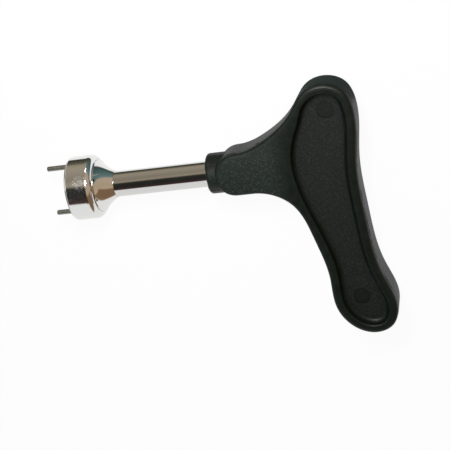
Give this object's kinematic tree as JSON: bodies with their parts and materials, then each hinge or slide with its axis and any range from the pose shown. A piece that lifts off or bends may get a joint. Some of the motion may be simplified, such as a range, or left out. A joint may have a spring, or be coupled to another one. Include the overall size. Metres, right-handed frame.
{
  "type": "pin spanner",
  "caption": "T-handled pin spanner: fixed pins on a turned cup head fit paired holes in a part's face, and the uneven cross-handle turns it.",
  "frame": {"origin": "centre of the head's front face, which the drive pins stand out of", "axes": "+X runs along the shaft from the head to the handle, +Y points along the handle's short arm, +Z is square to the handle's flat upper face"},
  "size_m": [0.1298, 0.0997, 0.025],
  "materials": {
    "handle_plastic": "fine moulded texture",
    "shaft_chrome": "bright plating",
    "head_chrome": "bright plating over fine turning marks",
    "pin_steel": "hardened and ground"
  },
  "bodies": {
    "root": {"handle": "handle_plastic", "shaft": "shaft_chrome", "head": "head_chrome", "drive_pin_upper": "pin_steel", "drive_pin_lower": "pin_steel"}
  },
  "joints": []
}
